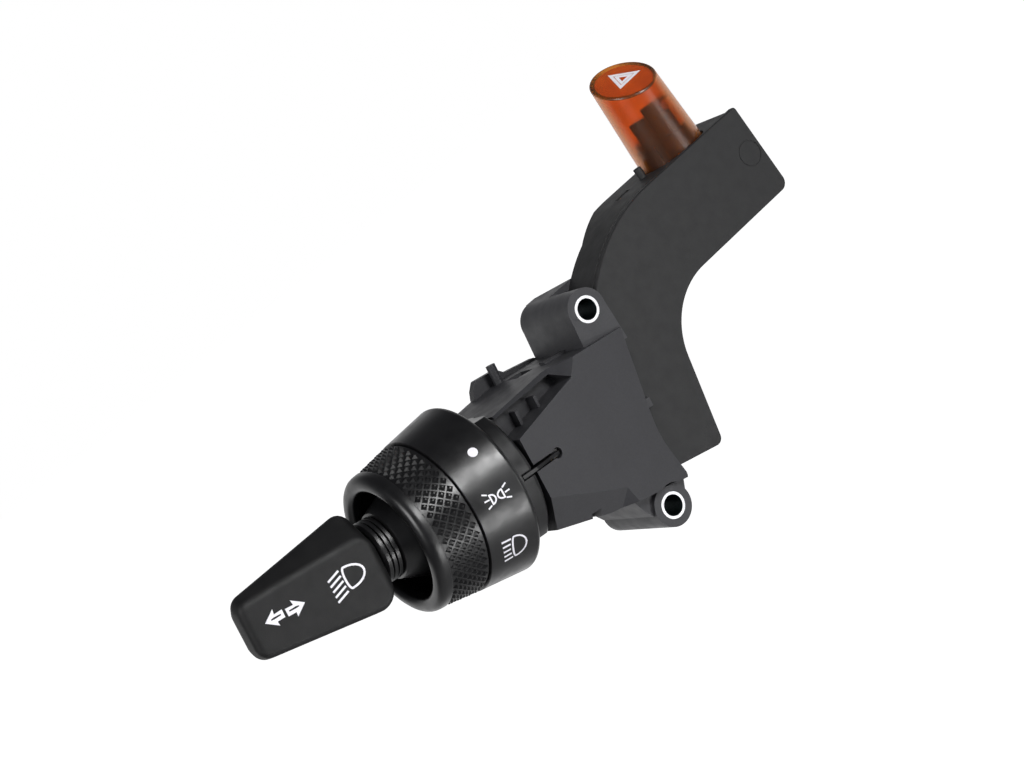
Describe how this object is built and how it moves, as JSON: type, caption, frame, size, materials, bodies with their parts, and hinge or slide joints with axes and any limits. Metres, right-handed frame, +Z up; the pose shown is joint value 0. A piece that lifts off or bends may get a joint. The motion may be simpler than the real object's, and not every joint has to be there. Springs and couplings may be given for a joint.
{
  "type": "combination_stalk_switch",
  "caption": "Left-hand steering column combination switch with indicator and beam lever, knurled light ring, hazard push button and curved arm on two mounting bosses",
  "frame": {"origin": "centre of the upper mounting sleeve's front face", "axes": "+X to the right along the arm, +Y forwards away from the driver along the mounting bores, +Z up"},
  "size_m": [0.1844, 0.0516, 0.0976],
  "materials": {
    "satin_black_plastic": "moulded glass-filled nylon, satin black",
    "grained_black_plastic": "fine-grained moulded nylon, black",
    "dark_grey_plastic": "moulded nylon, dark grey",
    "amber_lens": "translucent amber polycarbonate",
    "zinc_plated_steel": "bright zinc-plated steel",
    "spring_steel": "bare spring steel",
    "brass_contact": "bare brass",
    "tin_blade": "tin-plated copper blades",
    "lamp_glass": "clear lamp glass",
    "ivory_plastic": "natural acetal",
    "board_laminate": "phenolic laminate"
  },
  "bodies": {
    "housing": {"arm_shell": "satin_black_plastic", "arm_cover": "satin_black_plastic", "main_housing": "satin_black_plastic", "front_cover": "satin_black_plastic", "index_key": "satin_black_plastic", "rear_cover": "satin_black_plastic", "cover_screws": "zinc_plated_steel", "connector_shroud": "satin_black_plastic", "terminals": "tin_blade", "mounting_sleeves": "zinc_plated_steel", "guide_collar": "satin_black_plastic", "circlip": "spring_steel", "light_contact_plate": "brass_contact", "turn_contact_board": "board_laminate", "detent_cam": "ivory_plastic", "contact_base": "dark_grey_plastic", "pawl_pin": "zinc_plated_steel", "pawl_bracket": "dark_grey_plastic", "hazard_lamp_post": "dark_grey_plastic", "hazard_lamp": "lamp_glass", "lead_frame": "brass_contact"},
    "light_ring": {"symbol_ring": "satin_black_plastic", "grip_ring": "grained_black_plastic", "light_wiper": "brass_contact"},
    "turn_carrier_body": {"turn_carrier": "ivory_plastic", "turn_pins": "zinc_plated_steel", "beam_pin": "zinc_plated_steel", "turn_wiper": "brass_contact"},
    "lever": {"lever_stem": "dark_grey_plastic", "detent_plunger": "ivory_plastic", "detent_spring": "spring_steel", "neck_shroud": "satin_black_plastic", "lever_knob": "grained_black_plastic"},
    "hazard_button": {"hazard_cap": "amber_lens", "hazard_plunger": "dark_grey_plastic", "hazard_slider": "brass_contact", "hazard_spring": "spring_steel"},
    "cancel_pawl_body": {"cancel_pawl": "ivory_plastic"}
  },
  "joints": [
    {"name": "light_ring_turn", "type": "hinge", "parent": "housing", "child": "light_ring", "pos_m": [-0.04, 0.013, -0.01915], "axis": [-0.988, -0.0535, 0.1452], "range_deg": [-35, 35]},
    {"name": "turn_lever", "type": "hinge", "parent": "housing", "child": "turn_carrier_body", "pos_m": [-0.04741, 0.0126, -0.01806], "axis": [0.0541, -0.9985, 0], "range_deg": [-6, 6]},
    {"name": "beam_pull", "type": "hinge", "parent": "turn_carrier_body", "child": "lever", "pos_m": [-0.04741, 0.0126, -0.01806], "axis": [0.184, 0.01, 0.9829], "range_deg": [0, 5], "stiffness_Nm_per_rad": 0.6, "springref_deg": -2.86},
    {"name": "hazard_press", "type": "slide", "parent": "housing", "child": "hazard_button", "axis": [0, 0, -1], "range_m": [0, 0.004], "stiffness_N_per_m": 300, "springref_m": -0.001, "deforming": ["hazard_spring"]},
    {"name": "cancel_pawl_swing", "type": "hinge", "parent": "housing", "child": "cancel_pawl_body", "pos_m": [-0.00966, 0.02015, -0.02567], "axis": [0.0541, -0.9985, 0], "range_deg": [-12, 12], "stiffness_Nm_per_rad": 0.02}
  ]
}
